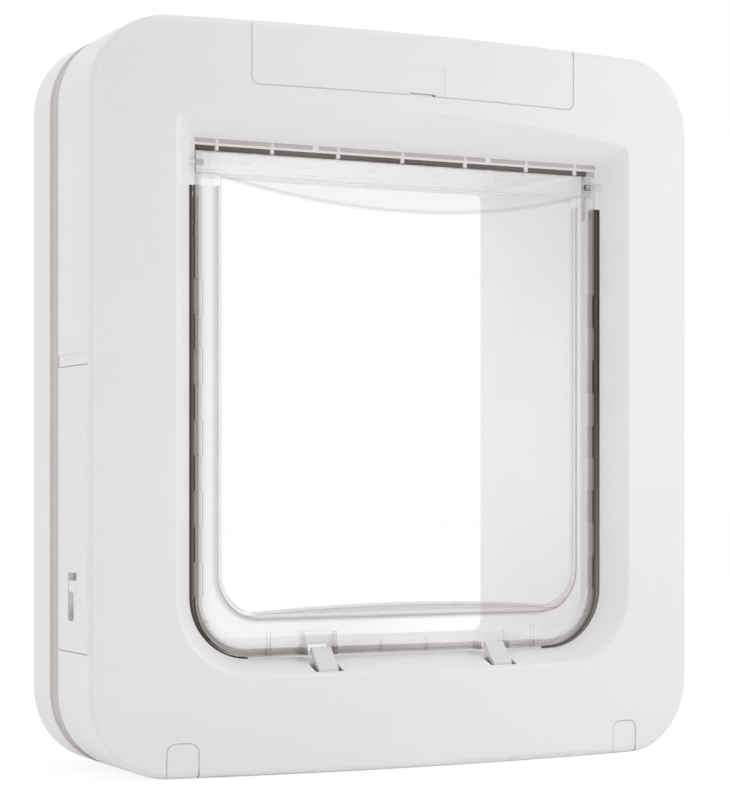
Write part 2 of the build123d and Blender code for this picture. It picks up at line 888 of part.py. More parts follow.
def make_bush(side):
    """A bush in the throat's side wall, reaching in to the barrel's end."""
    near, far = sorted((side * bush_face, side * (throat_half + wall)))
    with BuildPart() as bush:
        rod_x(hinge_y, hinge_z, bush_radius, near, far)
        rod_x(hinge_y, hinge_z, pin_radius + running_gap, near, far, Mode.SUBTRACT)
    return bush


for side, word in ((-1, "left"), (1, "right")):
    save(make_pin(side), f"hinge_pin_{word}")
    save(make_bush(side), f"hinge_bush_{word}")

# Pile seals
with BuildPart() as pile_seal:
    opening_prism(pile_start, pile_start + pile_depth, seal_seat)
    flap_prism(pile_start, pile_start + pile_depth, pile_gap, frame_height, Mode.SUBTRACT)
    block(
        -frame_width / 2,
        frame_width / 2,
        pile_start,
        pile_start + pile_depth,
        lintel_height - pile_top_gap,
        frame_height,
        Mode.SUBTRACT,
    )
    block(
        -pile_low_half,
        pile_low_half,
        pile_start,
        pile_start + pile_depth,
        sill_height - seal_seat,
        flap_low,
        Mode.SUBTRACT,
    )
save(pile_seal, "pile_seal")

with BuildPart() as pile_seal_top:
    top_front = hinge_y + barrel_radius + 2 * fit_gap
    block(
        -flap_half,
        flap_half,
        top_front,
        top_front + pile_depth / 2,
        hinge_z + barrel_radius + fit_gap,
        lintel_height + seal_seat,
    )
save(pile_seal_top, "pile_seal_top")


# Latches on the lock shaft
def make_latch(x):
    """A hook: hub on the shaft, arm forward under the sill, then up through the slot and back."""
    with BuildPart() as latch:
        with BuildSketch(Plane.YZ.offset(x - latch_width / 2)):
            with BuildLine():
                FilletPolyline((shaft_y, shaft_z), latch_elbow, latch_base, latch_tip, radius=latch_thickness)
                offset(amount=latch_thickness / 2, side=Side.BOTH)
            make_face()
            with Locations((shaft_y, shaft_z)):
                Circle(hub_radius)
                Circle(shaft_radius, mode=Mode.SUBTRACT)
        extrude(amount=latch_width)
    return latch


save(make_latch(-latch_x), "latch_left")
save(make_latch(latch_x), "latch_right")

with BuildPart() as lock_shaft:
    rod_x(shaft_y, shaft_z, shaft_radius, -shaft_half_length, shaft_half_length)
save(lock_shaft, "lock_shaft")


def make_bracket(side):
    """A bearing post that stands on the casing's floor."""
    x = side * bracket_x
    with BuildPart() as bracket:
        with BuildSketch(Plane.YZ.offset(x - bracket_width / 2)):
            with Locations((shaft_y, (wall + shaft_z) / 2)):
                Rectangle(bracket_depth, shaft_z - wall)
            with Locations((shaft_y, shaft_z)):
                Circle(bracket_depth / 2)
                Circle(shaft_radius + running_gap, mode=Mode.SUBTRACT)
        extrude(amount=bracket_width)
    return bracket


save(make_bracket(-1), "shaft_bracket_left")
save(make_bracket(1), "shaft_bracket_right")


# Gears
def involute(angle):
    """The involute function of a pressure angle in radians."""
    return tan(angle) - angle


def tooth_half_angle(radius, teeth):
    """Half the angle that a tooth fills at a radius."""
    base = gear_module * teeth / 2 * cos(radians(pressure_angle))
    at_base = (pi / 2 - gear_backlash / (2 * gear_module)) / teeth + involute(radians(pressure_angle))
    return at_base - involute(acos(min(base / radius, 1.0)))


def tooth_outline(y, z, teeth, turn):
    """Corner points of one tooth, from root to tip and back."""
    pitch = gear_module * teeth / 2
    radii = [pitch + factor * gear_module for factor in (-tooth_root, -tooth_step, 0, tooth_tip)]
    rising = [(r, turn - tooth_half_angle(r, teeth)) for r in radii]
    falling = [(r, turn + tooth_half_angle(r, teeth)) for r in reversed(radii)]
    return [(y + r * cos(angle), z + r * sin(angle)) for r, angle in rising + falling]


with BuildPart() as sector_gear:
    with BuildSketch(Plane.YZ.offset(gear_left)):
        with Locations((shaft_y, shaft_z)):
            Circle(sector_radius - root_depth)
        sector_half = 180.0 * sector_cut_teeth / sector_teeth
        with BuildLine():
            centre = (shaft_y, shaft_z)
            reach = CenterArc(centre, 2 * sector_radius, mesh_angle - sector_half, 2 * sector_half)
            Line(centre, reach @ 0)
            Line(centre, reach @ 1)
        make_face(mode=Mode.INTERSECT)
        for step in range(sector_cut_teeth):
            turn = radians(mesh_angle) + 2 * pi * (step - (sector_cut_teeth - 1) / 2) / sector_teeth
            Polygon(*tooth_outline(shaft_y, shaft_z, sector_teeth, turn), align=None)
        with Locations((shaft_y, shaft_z)):
            Circle(hub_radius)
            Circle(shaft_radius, mode=Mode.SUBTRACT)
    extrude(amount=gear_width)
save(sector_gear, "sector_gear")

with BuildPart() as motor_pinion:
    with BuildSketch(Plane.YZ.offset(gear_left)):
        with Locations((pinion_y, pinion_z)):
            Circle(pinion_radius - root_depth)
        for step in range(pinion_teeth):
            turn = radians(mesh_angle + 180.0) + 2 * pi * (step + 0.5) / pinion_teeth
            Polygon(*tooth_outline(pinion_y, pinion_z, pinion_teeth, turn), align=None)
    extrude(amount=gear_width)
    rod_x(pinion_y, pinion_z, motor_shaft_radius, gear_left, motor_left + motor_shaft_reach)
save(motor_pinion, "motor_pinion")

with BuildPart() as lock_motor:
    with BuildSketch(Plane.YZ.offset(motor_left)):
        with Locations((pinion_y, pinion_z)):
            Circle(motor_width / 2)
            Rectangle(motor_width, motor_height, mode=Mode.INTERSECT)
    extrude(amount=motor_length)
    shaft_room = motor_left + motor_shaft_room
    rod_x(pinion_y, pinion_z, motor_shaft_radius + running_gap, motor_left, shaft_room, Mode.SUBTRACT)
save(lock_motor, "lock_motor")

# Battery cover: face leaf and top leaf in one moulding, on a bead with trunnions
with BuildPart() as battery_cover:
    add(casing_body.part)
    cover_cut(0, Mode.INTERSECT)
    add(casing_space.part, mode=Mode.SUBTRACT)
    chamfer(seam_edges(battery_cover, frame_height - edge_round), seam_chamfer)
    block(
        -cover_width / 2,
        cover_width / 2,
        bead_y,
        casing_depth,
        cover_low,
        frame_height,
        Mode.SUBTRACT,
    )
    rod_x(bead_y, bead_z, bead_radius, -cover_width / 2, cover_width / 2)
    for side in (-1, 1):
        trunnion_end = side * (cover_width / 2 + trunnion_length)
        near, far = sorted((side * (cover_width / 2 - trunnion_root), trunnion_end))
        rod_x(bead_y, bead_z, trunnion_radius, near, far)
    thumb_low = cover_low + thumb_rise
    block(
        -thumb_width / 2,
        thumb_width / 2,
        front_clear,
        -face_bow + thumb_sink,
        thumb_low,
        thumb_low + thumb_height,
        Mode.SUBTRACT,
    )
    block(
        -catch_width / 2,
        catch_width / 2,
        front_clear,
        0,
        cover_low,
        cover_low + catch_height,
        Mode.SUBTRACT,
    )
save(battery_cover, "battery_cover")


# Screw covers
def make_screw_cover(x):
    """A press-in cover that follows the face and turns under the bottom edge."""
    with BuildPart() as cover:
        add(casing_body.part)
        screw_cover_cut(x, 0, Mode.INTERSECT)
        add(casing_space.part, mode=Mode.SUBTRACT)
        chamfer(seam_edges(cover, edge_round), seam_chamfer)
    return cover


save(make_screw_cover(-screw_cover_x), "screw_cover_left")
save(make_screw_cover(screw_cover_x), "screw_cover_right")

# Battery tray with the button's bracket
with BuildPart() as battery_tray:
    block(-tray_half, tray_half, tray_front, tray_back, tray_low, tray_high)
    block(
        -tray_half + tray_wall,
        tray_half - tray_wall,
        tray_front + tray_wall,
        tray_back - tray_wall,
        tray_low + tray_wall,
        tray_high,
        Mode.SUBTRACT,
    )
    block(tray_half - tray_wall / 2, ear_right, ear_back, ear_back + tray_wall, tray_low, tray_high)
    rod_y(button_x, cell_z, button_radius + fit_gap, ear_back, ear_back + tray_wall, Mode.SUBTRACT)
    switch_back = switch_front + switch_depth
    block(tray_half - tray_wall / 2, ear_right, switch_front, switch_back, tray_low, tray_high)
save(battery_tray, "battery_tray")

with BuildPart() as setting_button:
    rod_y(button_x, cell_z, button_radius, front_row, flange_front)
    rod_y(button_x, cell_z, button_radius + 2 * fit_gap, flange_front, flange_front + button_flange)
    chamfer(setting_button.faces().sort_by(Axis.Y)[0].edges(), button_round)
save(setting_button, "setting_button")


# Cells and their contacts
def make_cell(side, y):
    """An AA cell with its nub, pointing away from the middle."""
    shoulder = cell_gap + cell_length - cell_nub_length
    with BuildPart() as cell:
        near, far = sorted((side * cell_gap, side * shoulder))
        rod_x(y, cell_z, cell_radius, near, far)
        near, far = sorted((side * shoulder, side * (cell_gap + cell_length)))
        rod_x(y, cell_z, cell_nub_radius, near, far)
    return cell


for number, (side, y) in enumerate([(side, y) for y in row_ys for side in (-1, 1)], start=1):
    save(make_cell(side, y), f"battery_{number}")

with BuildPart() as battery_contacts:
    end = tray_half - tray_wall
    contact_half = contact_width / 2
    for y in row_ys:
        for x in (-end, -cell_gap, end - contact_thickness):
            block(
                x,
                x + contact_thickness,
                y - contact_half,
                y + contact_half,
                tray_low + tray_wall,
                cell_z + contact_half,
            )
save(battery_contacts, "battery_contacts")

# Antenna coil and control board
with BuildPart() as antenna_coil:
    tunnel_prism(coil_start, coil_start + coil_depth, tunnel_outer + fit_gap + coil_thickness)
    tunnel_prism(coil_start, coil_start + coil_depth, tunnel_outer + fit_gap, Mode.SUBTRACT)
save(antenna_coil, "antenna_coil")

with BuildPart() as control_board:
    board_front = board_back - board_thickness
    block(board_left, board_right, board_front, board_back, board_low, board_low + board_height)
    for width, height, depth, rise in chip_sizes:
        low = board_low + rise - height / 2
        front = board_front - depth
        block(board_mid - width / 2, board_mid + width / 2, front, board_front, low, low + height)
save(control_board, "control_board")
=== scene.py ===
import json
import math
import random

import bmesh
import bpy
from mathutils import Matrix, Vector


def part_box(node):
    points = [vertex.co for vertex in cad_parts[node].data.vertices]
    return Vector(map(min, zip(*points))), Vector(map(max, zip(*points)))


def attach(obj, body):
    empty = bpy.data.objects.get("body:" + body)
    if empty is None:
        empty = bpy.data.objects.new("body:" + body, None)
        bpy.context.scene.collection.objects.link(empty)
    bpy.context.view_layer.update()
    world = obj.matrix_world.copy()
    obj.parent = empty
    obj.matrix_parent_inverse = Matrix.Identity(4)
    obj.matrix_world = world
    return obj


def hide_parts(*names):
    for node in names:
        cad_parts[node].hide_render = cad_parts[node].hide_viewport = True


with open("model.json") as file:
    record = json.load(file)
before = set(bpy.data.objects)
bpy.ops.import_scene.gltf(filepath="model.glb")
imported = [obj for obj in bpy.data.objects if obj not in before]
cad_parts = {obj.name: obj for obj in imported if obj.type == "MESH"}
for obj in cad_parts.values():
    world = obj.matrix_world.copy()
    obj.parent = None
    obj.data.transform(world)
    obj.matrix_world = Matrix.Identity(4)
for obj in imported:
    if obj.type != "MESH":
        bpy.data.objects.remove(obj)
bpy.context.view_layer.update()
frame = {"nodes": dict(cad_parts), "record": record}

nodes = frame["nodes"]
MM = 0.001
QUARTER_TURN = math.pi / 2

# Camera: the photograph's viewing angle
CAMERA_PLACE = Vector((-0.4120, -0.8192, 0.1097))
VIEW_FORWARD = Vector((0.4493, 0.8934, 0.0))
FOCAL_PIXELS = 2330.0
PRINCIPAL = (406.8, 485.0)
IMAGE_SIZE = (730, 800)
SENSOR_WIDTH = 36.0

camera_data = bpy.data.cameras.new("camera")
camera_data.sensor_fit = "HORIZONTAL"
camera_data.sensor_width = SENSOR_WIDTH
camera_data.lens = FOCAL_PIXELS * SENSOR_WIDTH / IMAGE_SIZE[0]
camera_data.shift_x = (IMAGE_SIZE[0] / 2 - PRINCIPAL[0]) / IMAGE_SIZE[0]
camera_data.shift_y = (PRINCIPAL[1] - IMAGE_SIZE[1] / 2) / IMAGE_SIZE[0]
camera_data.clip_start = 0.01
camera_data.clip_end = 50.0
camera = bpy.data.objects.new("camera", camera_data)
camera.location = CAMERA_PLACE
camera.rotation_euler = VIEW_FORWARD.to_track_quat("-Z", "Y").to_euler()
bpy.context.scene.collection.objects.link(camera)
bpy.context.scene.camera = camera

# Places read from the solids, in metres
flap_low, flap_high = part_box("flap")
gasket_low, gasket_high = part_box("door_gasket")
seal_low, seal_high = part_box("pile_seal")
top_low, top_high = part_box("pile_seal_top")
board_low, board_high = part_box("control_board")
cover_low, cover_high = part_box("battery_cover")
frame_low, frame_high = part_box("interior_frame")
flap_half = flap_high.x
flap_base = flap_low.z

# The flap's outline and window
FLAP_FRONT = 0.0033
FLAP_CORNER = 0.022
WINDOW_CORNER = 0.018
WINDOW_HIGH = 0.229
RIM_WIDTH = 0.0089
RIM_HEIGHT = 0.0137
BEAM_BASE = 0.2235
BEAM_LOW = 0.2272
BOW_RADIUS = 0.46229
BOW_DEPTH = 0.008
BOW_CENTRE = FLAP_FRONT - BOW_DEPTH + BOW_RADIUS
HIGH_SLOPE = 1.55
LOW_SLOPE = 0.6

# The opening's wall, and how far from it the pile has painted shade at the root and is light at
# the tip
WALL_CORNER = 0.0245
ROOT_SHADE_END = 0.0013
TIP_START = 0.0019

# Half the width, in metres, over which the left side changes to the right side
MIDDLE = 0.02

# Ends of a noise's usual values
NOISE_LOW = 0.3
NOISE_HIGH = 0.7

# Places of the colour sockets on a mix node, whose names repeat
MIX_FIRST = 6
MIX_SECOND = 7
MIX_RESULT = 2


# Node helpers
def new_material(name):
    """An empty node material with its output."""
    mat = bpy.data.materials.new(name)
    mat.use_nodes = True
    mat.node_tree.nodes.clear()
    out = mat.node_tree.nodes.new("ShaderNodeOutputMaterial")
    return mat, mat.node_tree, out


def node(tree, kind, **values):
    """A node with its sockets or settings filled in."""
    made = tree.nodes.new(kind)
    for key, value in values.items():
        if key in made.inputs:
            made.inputs[key].default_value = value
        else:
            setattr(made, key, value)
    return made


def axes_of(tree, output="Object"):
    """The sockets X, Y and Z of a texture coordinate: the part's own metres unless named."""
    place = node(tree, "ShaderNodeTexCoord")
    axes = node(tree, "ShaderNodeSeparateXYZ")
    tree.links.new(place.outputs[output], axes.inputs["Vector"])
    return axes.outputs


def noise(tree, scale, detail=2.0, rough=0.5):
    """Noise in the part's own metres."""
    place = node(tree, "ShaderNodeTexCoord")
    made = node(tree, "ShaderNodeTexNoise", Scale=scale, Detail=detail, Roughness=rough)
    tree.links.new(place.outputs["Object"], made.inputs["Vector"])
    return made.outputs["Fac"]


def ramp(tree, source, low, high, start=0.0, end=1.0):
    """A factor turned into a colour between low and high."""
    made = node(tree, "ShaderNodeValToRGB")
    made.color_ramp.elements[0].position = start
    made.color_ramp.elements[0].color = (*low, 1.0)
    made.color_ramp.elements[1].position = end
    made.color_ramp.elements[1].color = (*high, 1.0)
    tree.links.new(source, made.inputs["Fac"])
    return made.outputs["Color"]


def mix_colours(tree, first, second, **values):
    """Two colours mixed by a node with its settings filled in: the result and the factor."""
    made = node(tree, "ShaderNodeMix", data_type="RGBA", **values)
    tree.links.new(first, made.inputs[MIX_FIRST])
    tree.links.new(second, made.inputs[MIX_SECOND])
    return made.outputs[MIX_RESULT], made.inputs["Factor"]


def span(tree, source, low, high):
    """A factor mapped to a range."""
    made = node(tree, "ShaderNodeMapRange")
    made.inputs["To Min"].default_value = low
    made.inputs["To Max"].default_value = high
    tree.links.new(source, made.inputs["Value"])
    return made


def slide(tree, source, start, end, low, high):
    """A value mapped from one range to another, held at the ends."""
    made = span(tree, source, low, high)
    made.inputs["From Min"].default_value = start
    made.inputs["From Max"].default_value = end
    return made.outputs["Result"]


def rise(tree, source, start, end):
    """0 up to start and 1 from end on."""
    return slide(tree, source, start, end, 0.0, 1.0)


def fall(tree, source, start, end):
    """1 up to start and 0 from end on."""
    return slide(tree, source, start, end, 1.0, 0.0)


def maths(tree, operation, first, *others, clamp=False):
    """An operation on sockets or plain numbers, one after another where there are several."""
    for other in others or (None,):
        made = node(tree, "ShaderNodeMath", operation=operation, use_clamp=clamp)
        for place, value in enumerate((first, other)):
            if isinstance(value, (int, float)):
                made.inputs[place].default_value = value
            elif value is not None:
                tree.links.new(value, made.inputs[place])
        first = made.outputs["Value"]
    return first


def bump(tree, source, strength, distance):
    """A bump from a height."""
    made = node(tree, "ShaderNodeBump", Strength=strength, Distance=distance)
    tree.links.new(source, made.inputs["Height"])
    return made.outputs["Normal"]


def surface(tree, colour, rough, relief, **values):
    """A shader with a colour, a roughness as (factor, low, high), a bump and other values."""
    shader = node(tree, "ShaderNodeBsdfPrincipled", **values)
    finish = span(tree, *rough)
    tree.links.new(colour, shader.inputs["Base Color"])
    tree.links.new(finish.outputs["Result"], shader.inputs["Roughness"])
    tree.links.new(relief, shader.inputs["Normal"])
    return shader.outputs["BSDF"]


def hypotenuse(tree, first, second):
    """Length of a line from its two legs."""
    first_square = maths(tree, "MULTIPLY", first, first)
    second_square = maths(tree, "MULTIPLY", second, second)
    return maths(tree, "SQRT", maths(tree, "ADD", first_square, second_square))


def beyond(tree, axes, half, low, radius):
    """Metres outside an upright outline with two rounded lower corners, minus inside it."""
    sideways = maths(tree, "SUBTRACT", maths(tree, "ABSOLUTE", axes["X"]), half - radius)
    across = maths(tree, "MAXIMUM", sideways, 0.0)
    down = maths(tree, "MAXIMUM", maths(tree, "SUBTRACT", low + radius, axes["Z"]), 0.0)
    return maths(tree, "SUBTRACT", hypotenuse(tree, across, down), radius)


# Moulded plastic
DRIFT_SCALE = 22.0
ROUGH_DRIFT = 0.06
GRAIN_STRENGTH = 0.35


def plastic(name, low, high, rough, grain_scale, grain_depth, specular=0.5):
    """Moulded plastic: faint colour drift, a fine spark texture and a matching roughness."""
    mat, tree, out = new_material(name)
    drift = noise(tree, DRIFT_SCALE, detail=3.0)
    colour = ramp(tree, drift, low, high, NOISE_LOW, NOISE_HIGH)
    grain = noise(tree, grain_scale, detail=3.0, rough=0.6)
    relief = bump(tree, grain, GRAIN_STRENGTH, grain_depth)
    ends = (grain, rough - ROUGH_DRIFT, rough + ROUGH_DRIFT)
    shader = surface(tree, colour, ends, relief, **{"Specular IOR Level": specular})
    tree.links.new(shader, out.inputs["Surface"])
    return mat


# Metal
MARK_SCALE = 900.0
MARK_LOW = 0.25
MARK_HIGH = 0.75
MARK_STRENGTH = 0.15
MARK_DEPTH = 0.00003
SMOOTHER = 0.08
ROUGHER = 0.1


def metal(name, low, high, rough, stretch):
    """Plated or drawn metal with fine marks along one direction."""
    mat, tree, out = new_material(name)
    place = node(tree, "ShaderNodeTexCoord")
    scale = node(tree, "ShaderNodeMapping", Scale=stretch)
    marks = node(tree, "ShaderNodeTexNoise", Scale=MARK_SCALE, Detail=3.0)
    tree.links.new(place.outputs["Object"], scale.inputs["Vector"])
    tree.links.new(scale.outputs["Vector"], marks.inputs["Vector"])
    grain = marks.outputs["Fac"]
    colour = ramp(tree, grain, low, high, MARK_LOW, MARK_HIGH)
    relief = bump(tree, grain, MARK_STRENGTH, MARK_DEPTH)
    ends = (grain, rough - SMOOTHER, rough + ROUGHER)
    shader = surface(tree, colour, ends, relief, Metallic=1.0)
    tree.links.new(shader, out.inputs["Surface"])
    return mat


# Finishes in steps along an axis
STEP_GRAIN_SCALE = 1500.0
STEP_GRAIN_STRENGTH = 0.2
SPECK = (0.86, 0.86, 0.86)
SPECK_END = 0.6
WHITE = (1.0, 1.0, 1.0)


def by_place(name, axis, stops, rough, metallic, grain_depth, fold=False):
    """A finish whose colour changes along one axis of the part, as (metres, colour) steps."""
    mat, tree, out = new_material(name)
    along = axes_of(tree)[axis]
    if fold:
        along = maths(tree, "ABSOLUTE", along)
    first, last = stops[0][0], stops[-1][0]
    steps = node(tree, "ShaderNodeValToRGB")
    steps.color_ramp.interpolation = "CONSTANT"
    while len(steps.color_ramp.elements) < len(stops):
        steps.color_ramp.elements.new(1.0)
    for stop, (metres, colour) in zip(steps.color_ramp.elements, stops):
        stop.position = (metres - first) / (last - first)
        stop.color = (*colour, 1.0)
    tree.links.new(rise(tree, along, first, last), steps.inputs["Fac"])
    grain = noise(tree, STEP_GRAIN_SCALE, detail=3.0)
    speck = ramp(tree, grain, SPECK, WHITE, NOISE_LOW, SPECK_END)
    colour, share = mix_colours(tree, steps.outputs["Color"], speck, blend_type="MULTIPLY")
    share.default_value = 1.0
    relief = bump(tree, grain, STEP_GRAIN_STRENGTH, grain_depth)
    ends = (grain, rough - ROUGH_DRIFT, rough + ROUGH_DRIFT)
    shader = surface(tree, colour, ends, relief, Metallic=metallic)
    tree.links.new(shader, out.inputs["Surface"])
    return mat


# Brush pile, with painted shade at the roots and painted light low on the right
PILE_GRAIN_SCALE = 1800.0
PILE_SPECULAR = 0.2
PILE_ROUGH = (0.79, 0.91)
PILE_RELIEF = (0.35, 0.0002)
PILE_WANDER = 0.0002
PILE_TIP = (0.16, 0.14, 0.13)
PILE_ROOT_SHADE = (0.065, 0.053, 0.047)
LIT_PILE_LOW = (0.22, 0.195, 0.182)
LIT_PILE_HIGH = (0.32, 0.285, 0.27)
LIT_PILE_UNTIL = 0.06
LIT_PILE_END = 0.15


def pile(name):
    """Brush pile: painted shade darkens the roots by the wall, the tips by the flap are lighter,
    and painted light makes it paler low on the right.
    """
    mat, tree, out = new_material(name)
    axes = axes_of(tree)
    grain = noise(tree, PILE_GRAIN_SCALE, detail=3.0, rough=0.6)
    wander = slide(tree, grain, NOISE_LOW, NOISE_HIGH, -PILE_WANDER, PILE_WANDER)
    wall = beyond(tree, axes, seal_high.x, seal_low.z, WALL_CORNER)
    # Painted shade: darker at the roots by the wall
    root_shade = rise(tree, maths(tree, "ADD", wall, wander), -TIP_START, -ROOT_SHADE_END)
    shaded_pile = ramp(tree, root_shade, PILE_TIP, PILE_ROOT_SHADE)
    # Painted light: paler low on the right, where more light falls on the pile
    pale = ramp(tree, grain, LIT_PILE_LOW, LIT_PILE_HIGH)
    low = fall(tree, axes["Z"], LIT_PILE_UNTIL, LIT_PILE_END)
    right = rise(tree, axes["X"], -MIDDLE, MIDDLE)
    colour, share = mix_colours(tree, shaded_pile, pale)
    tree.links.new(maths(tree, "MULTIPLY", low, right), share)
    relief = bump(tree, grain, *PILE_RELIEF)
    ends = (grain, *PILE_ROUGH)
    shader = surface(tree, colour, ends, relief, **{"Specular IOR Level": PILE_SPECULAR})
    tree.links.new(shader, out.inputs["Surface"])
    return mat


# Clear plastic: widths in metres, bodies as shares of a solid surface, tints as shares of the
# painted brown of the pile seen through the border
CLEAR_IOR = 1.49
CLEAR_COLOUR = (0.97, 0.962, 0.965)
SEEN_PILE_COLOUR = (0.29, 0.25, 0.235)
CLEAR_ROUGH = (0.04, 0.1)
CLEAR_RELIEF = (0.05, 0.0002)
FLOW_SCALE = 60.0
PATCHY = 0.85
FACING_BLEND = 0.3
FACING_BODY = (0.01, 0.6)
EDGE_FADE = 0.0003
RIM_FADE = 0.0004
WIDTH_FADE = 0.9
RIM_SKIN = 0.0013
SKIN_FADE = 1.3
RIM_BODY = 0.11
RIM_TINT = 0.35
RIGHT_SHARE = 0.12
SEEN_PILE_WIDTH = 0.0031
SEEN_PILE_BODY = (0.12, 0.52)
RIM_BAND_WIDTH = 0.0072
RIM_BAND_BODY = 0.16
RIM_BAND_TINT = 0.75
LEDGE_TILT = (0.3, 0.86)
LEDGE_BODY = 0.2
LEDGE_TINT = 0.5
ARC_WIDTH = 0.0012
ARC_BODY = 0.2
FLANGE_WIDTH = 0.0026
FLANGE_BODY = 0.45
BEAD_WIDTH = 0.0017
BEAD_BODY = 0.32


def window_arcs(tree, axes):
    """1 on the two arcs where the window's ledges meet its bowed sheet."""
    drop = maths(tree, "SUBTRACT", FLAP_FRONT, axes["Y"])
    back = maths(tree, "SUBTRACT", axes["Y"], BOW_CENTRE)
    bow = maths(tree, "SUBTRACT", hypotenuse(tree, axes["X"], back), BOW_RADIUS)
    off_bow = maths(tree, "ABSOLUTE", bow)
    lines = []
    for height, lean in ((WINDOW_HIGH, -HIGH_SLOPE), (flap_base + RIM_HEIGHT, LOW_SLOPE)):
        ledge = maths(tree, "ADD", maths(tree, "MULTIPLY", drop, lean), height)
        off_ledge = maths(tree, "ABSOLUTE", maths(tree, "SUBTRACT", axes["Z"], ledge))
        off_arc = maths(tree, "MAXIMUM", off_ledge, off_bow)
        lines.append(fall(tree, off_arc, 0.0, ARC_WIDTH))
    return maths(tree, "MAXIMUM", *lines)


def clear_plastic(name):
    """Clear moulding: see-through face on, paler turned away, with a painted refraction of the
    brush seal as a brown band on its border.
    """
    mat, tree, out = new_material(name)
    axes = axes_of(tree)
    flow = noise(tree, FLOW_SCALE)
    border = beyond(tree, axes, flap_half, flap_base, FLAP_CORNER)
    rim = beyond(tree, axes, flap_half - RIM_WIDTH, flap_base + RIM_HEIGHT, WINDOW_CORNER)

    def times(*values):
        """The values multiplied."""
        return maths(tree, "MULTIPLY", *values)

    def within(width):
        """1 on the flap's border, as wide as this."""
        return rise(tree, border, -width, -WIDTH_FADE * width)

    # Masks, from 0 to 1
    under_beam = fall(tree, axes["Z"], BEAM_BASE - EDGE_FADE, BEAM_BASE)
    near_front = fall(tree, axes["Y"], FLAP_FRONT + RIM_SKIN, FLAP_FRONT + SKIN_FADE * RIM_SKIN)
    skin = times(near_front, under_beam)
    to_right = slide(tree, axes["X"], -MIDDLE, MIDDLE, 1.0, RIGHT_SHARE)
    # Painted refraction: the dark pile seen through the border, denser towards the edge
    seen_pile = times(within(SEEN_PILE_WIDTH), skin)
    rim_band = times(rise(tree, border, -RIM_BAND_WIDTH, -SEEN_PILE_WIDTH), skin, to_right)
    sheet = times(rise(tree, rim, 0.0, RIM_FADE), to_right)
    tilt = maths(tree, "ABSOLUTE", axes_of(tree, "Normal")["Z"])
    below = fall(tree, axes["Z"], BEAM_LOW - EDGE_FADE, BEAM_LOW)
    in_window = fall(tree, rim, -RIM_FADE, -RIM_FADE / 2)
    ledge = times(rise(tree, tilt, *LEDGE_TILT), below, in_window)
    arcs = window_arcs(tree, axes)
    flange = maths(tree, "SUBTRACT", within(FLANGE_WIDTH), skin, clamp=True)
    off_bead = maths(tree, "DIVIDE", maths(tree, "ABSOLUTE", rim), BEAD_WIDTH)
    bead = times(maths(tree, "SUBTRACT", 1.0, off_bead, clamp=True), under_beam)

    # Colour, roughness and relief
    # Painted reflection and refraction: greys on the ledges, the arcs and the bead, and on the rim
    # band and rim sheet, these two weaker on the right, where the shaded wall behind shows
    pale = (times(rim_band, RIM_BAND_TINT), times(ledge, LEDGE_TINT), times(sheet, RIM_TINT))
    tint = maths(tree, "MAXIMUM", seen_pile, bead, arcs, *pale)
    colour = ramp(tree, tint, CLEAR_COLOUR, SEEN_PILE_COLOUR)
    relief = bump(tree, flow, *CLEAR_RELIEF)
    shader = surface(tree, colour, (flow, *CLEAR_ROUGH), relief, IOR=CLEAR_IOR)

    # How solid it looks
    edge = node(tree, "ShaderNodeLayerWeight", Blend=FACING_BLEND)
    turned = span(tree, edge.outputs["Facing"], *FACING_BODY)
    turned.interpolation_type = "SMOOTHERSTEP"
    depth = slide(tree, border, -SEEN_PILE_WIDTH, 0.0, *SEEN_PILE_BODY)
    patches = slide(tree, flow, NOISE_LOW, NOISE_HIGH, PATCHY, 1.0)
    body = maths(
        tree,
        "ADD",
        turned.outputs["Result"],
        times(sheet, RIM_BODY),
        times(ledge, LEDGE_BODY),
        times(arcs, ARC_BODY),
        times(bead, BEAD_BODY),
        times(rim_band, RIM_BAND_BODY),
        times(flange, FLANGE_BODY),
        times(seen_pile, depth, patches),
        clamp=True,
    )
    passing = node(tree, "ShaderNodeBsdfTransparent")
    mix = node(tree, "ShaderNodeMixShader")
    tree.links.new(body, mix.inputs["Fac"])
    tree.links.new(passing.outputs["BSDF"], mix.inputs[1])
    tree.links.new(shader, mix.inputs[2])
    tree.links.new(mix.outputs["Shader"], out.inputs["Surface"])
    return mat


# Finishes of the solids
ALONG_X = (0.05, 1.0, 1.0)
ALONG_WIRE = (1.0, 6.0, 1.0)
FOAM_GROOVE = 0.0022
FOAM_SHADED = (0.4, 0.372, 0.361)
FOAM_TAUPE = (0.7, 0.65, 0.632)
BOARD_THICKNESS = 0.0016
CHIP_BLACK = (0.018, 0.018, 0.02)
BOARD_COLOUR = (0.025, 0.13, 0.055)
CELL_STEPS = (
    (0.0, (0.6, 0.6, 0.61)),
    (0.0012, (0.045, 0.05, 0.06)),
    (0.036, (0.72, 0.42, 0.2)),
    (0.0494, (0.62, 0.62, 0.63)),
    (0.051, (0.62, 0.62, 0.63)),
)

casing_white = plastic(
    "casing_white",
    (0.9, 0.884, 0.888),
    (0.92, 0.905, 0.909),
    rough=0.42,
    grain_scale=2600.0,
    grain_depth=0.00004,
)
latch_grey = plastic(
    "latch_grey",
    (0.77, 0.754, 0.759),
    (0.81, 0.794, 0.799),
    rough=0.38,
    grain_scale=3000.0,
    grain_depth=0.00003,
)
window_clear = clear_plastic("window_clear")
# Painted shade: the taupe of the strip in the lintel's groove
groove_shade_taupe = plastic(
    "groove_shade_taupe",
    (0.64, 0.6, 0.585),
    (0.72, 0.68, 0.665),
    rough=0.9,
    grain_scale=1600.0,
    grain_depth=0.0002,
    specular=0.2,
)
pile_brown = pile("pile_brown")
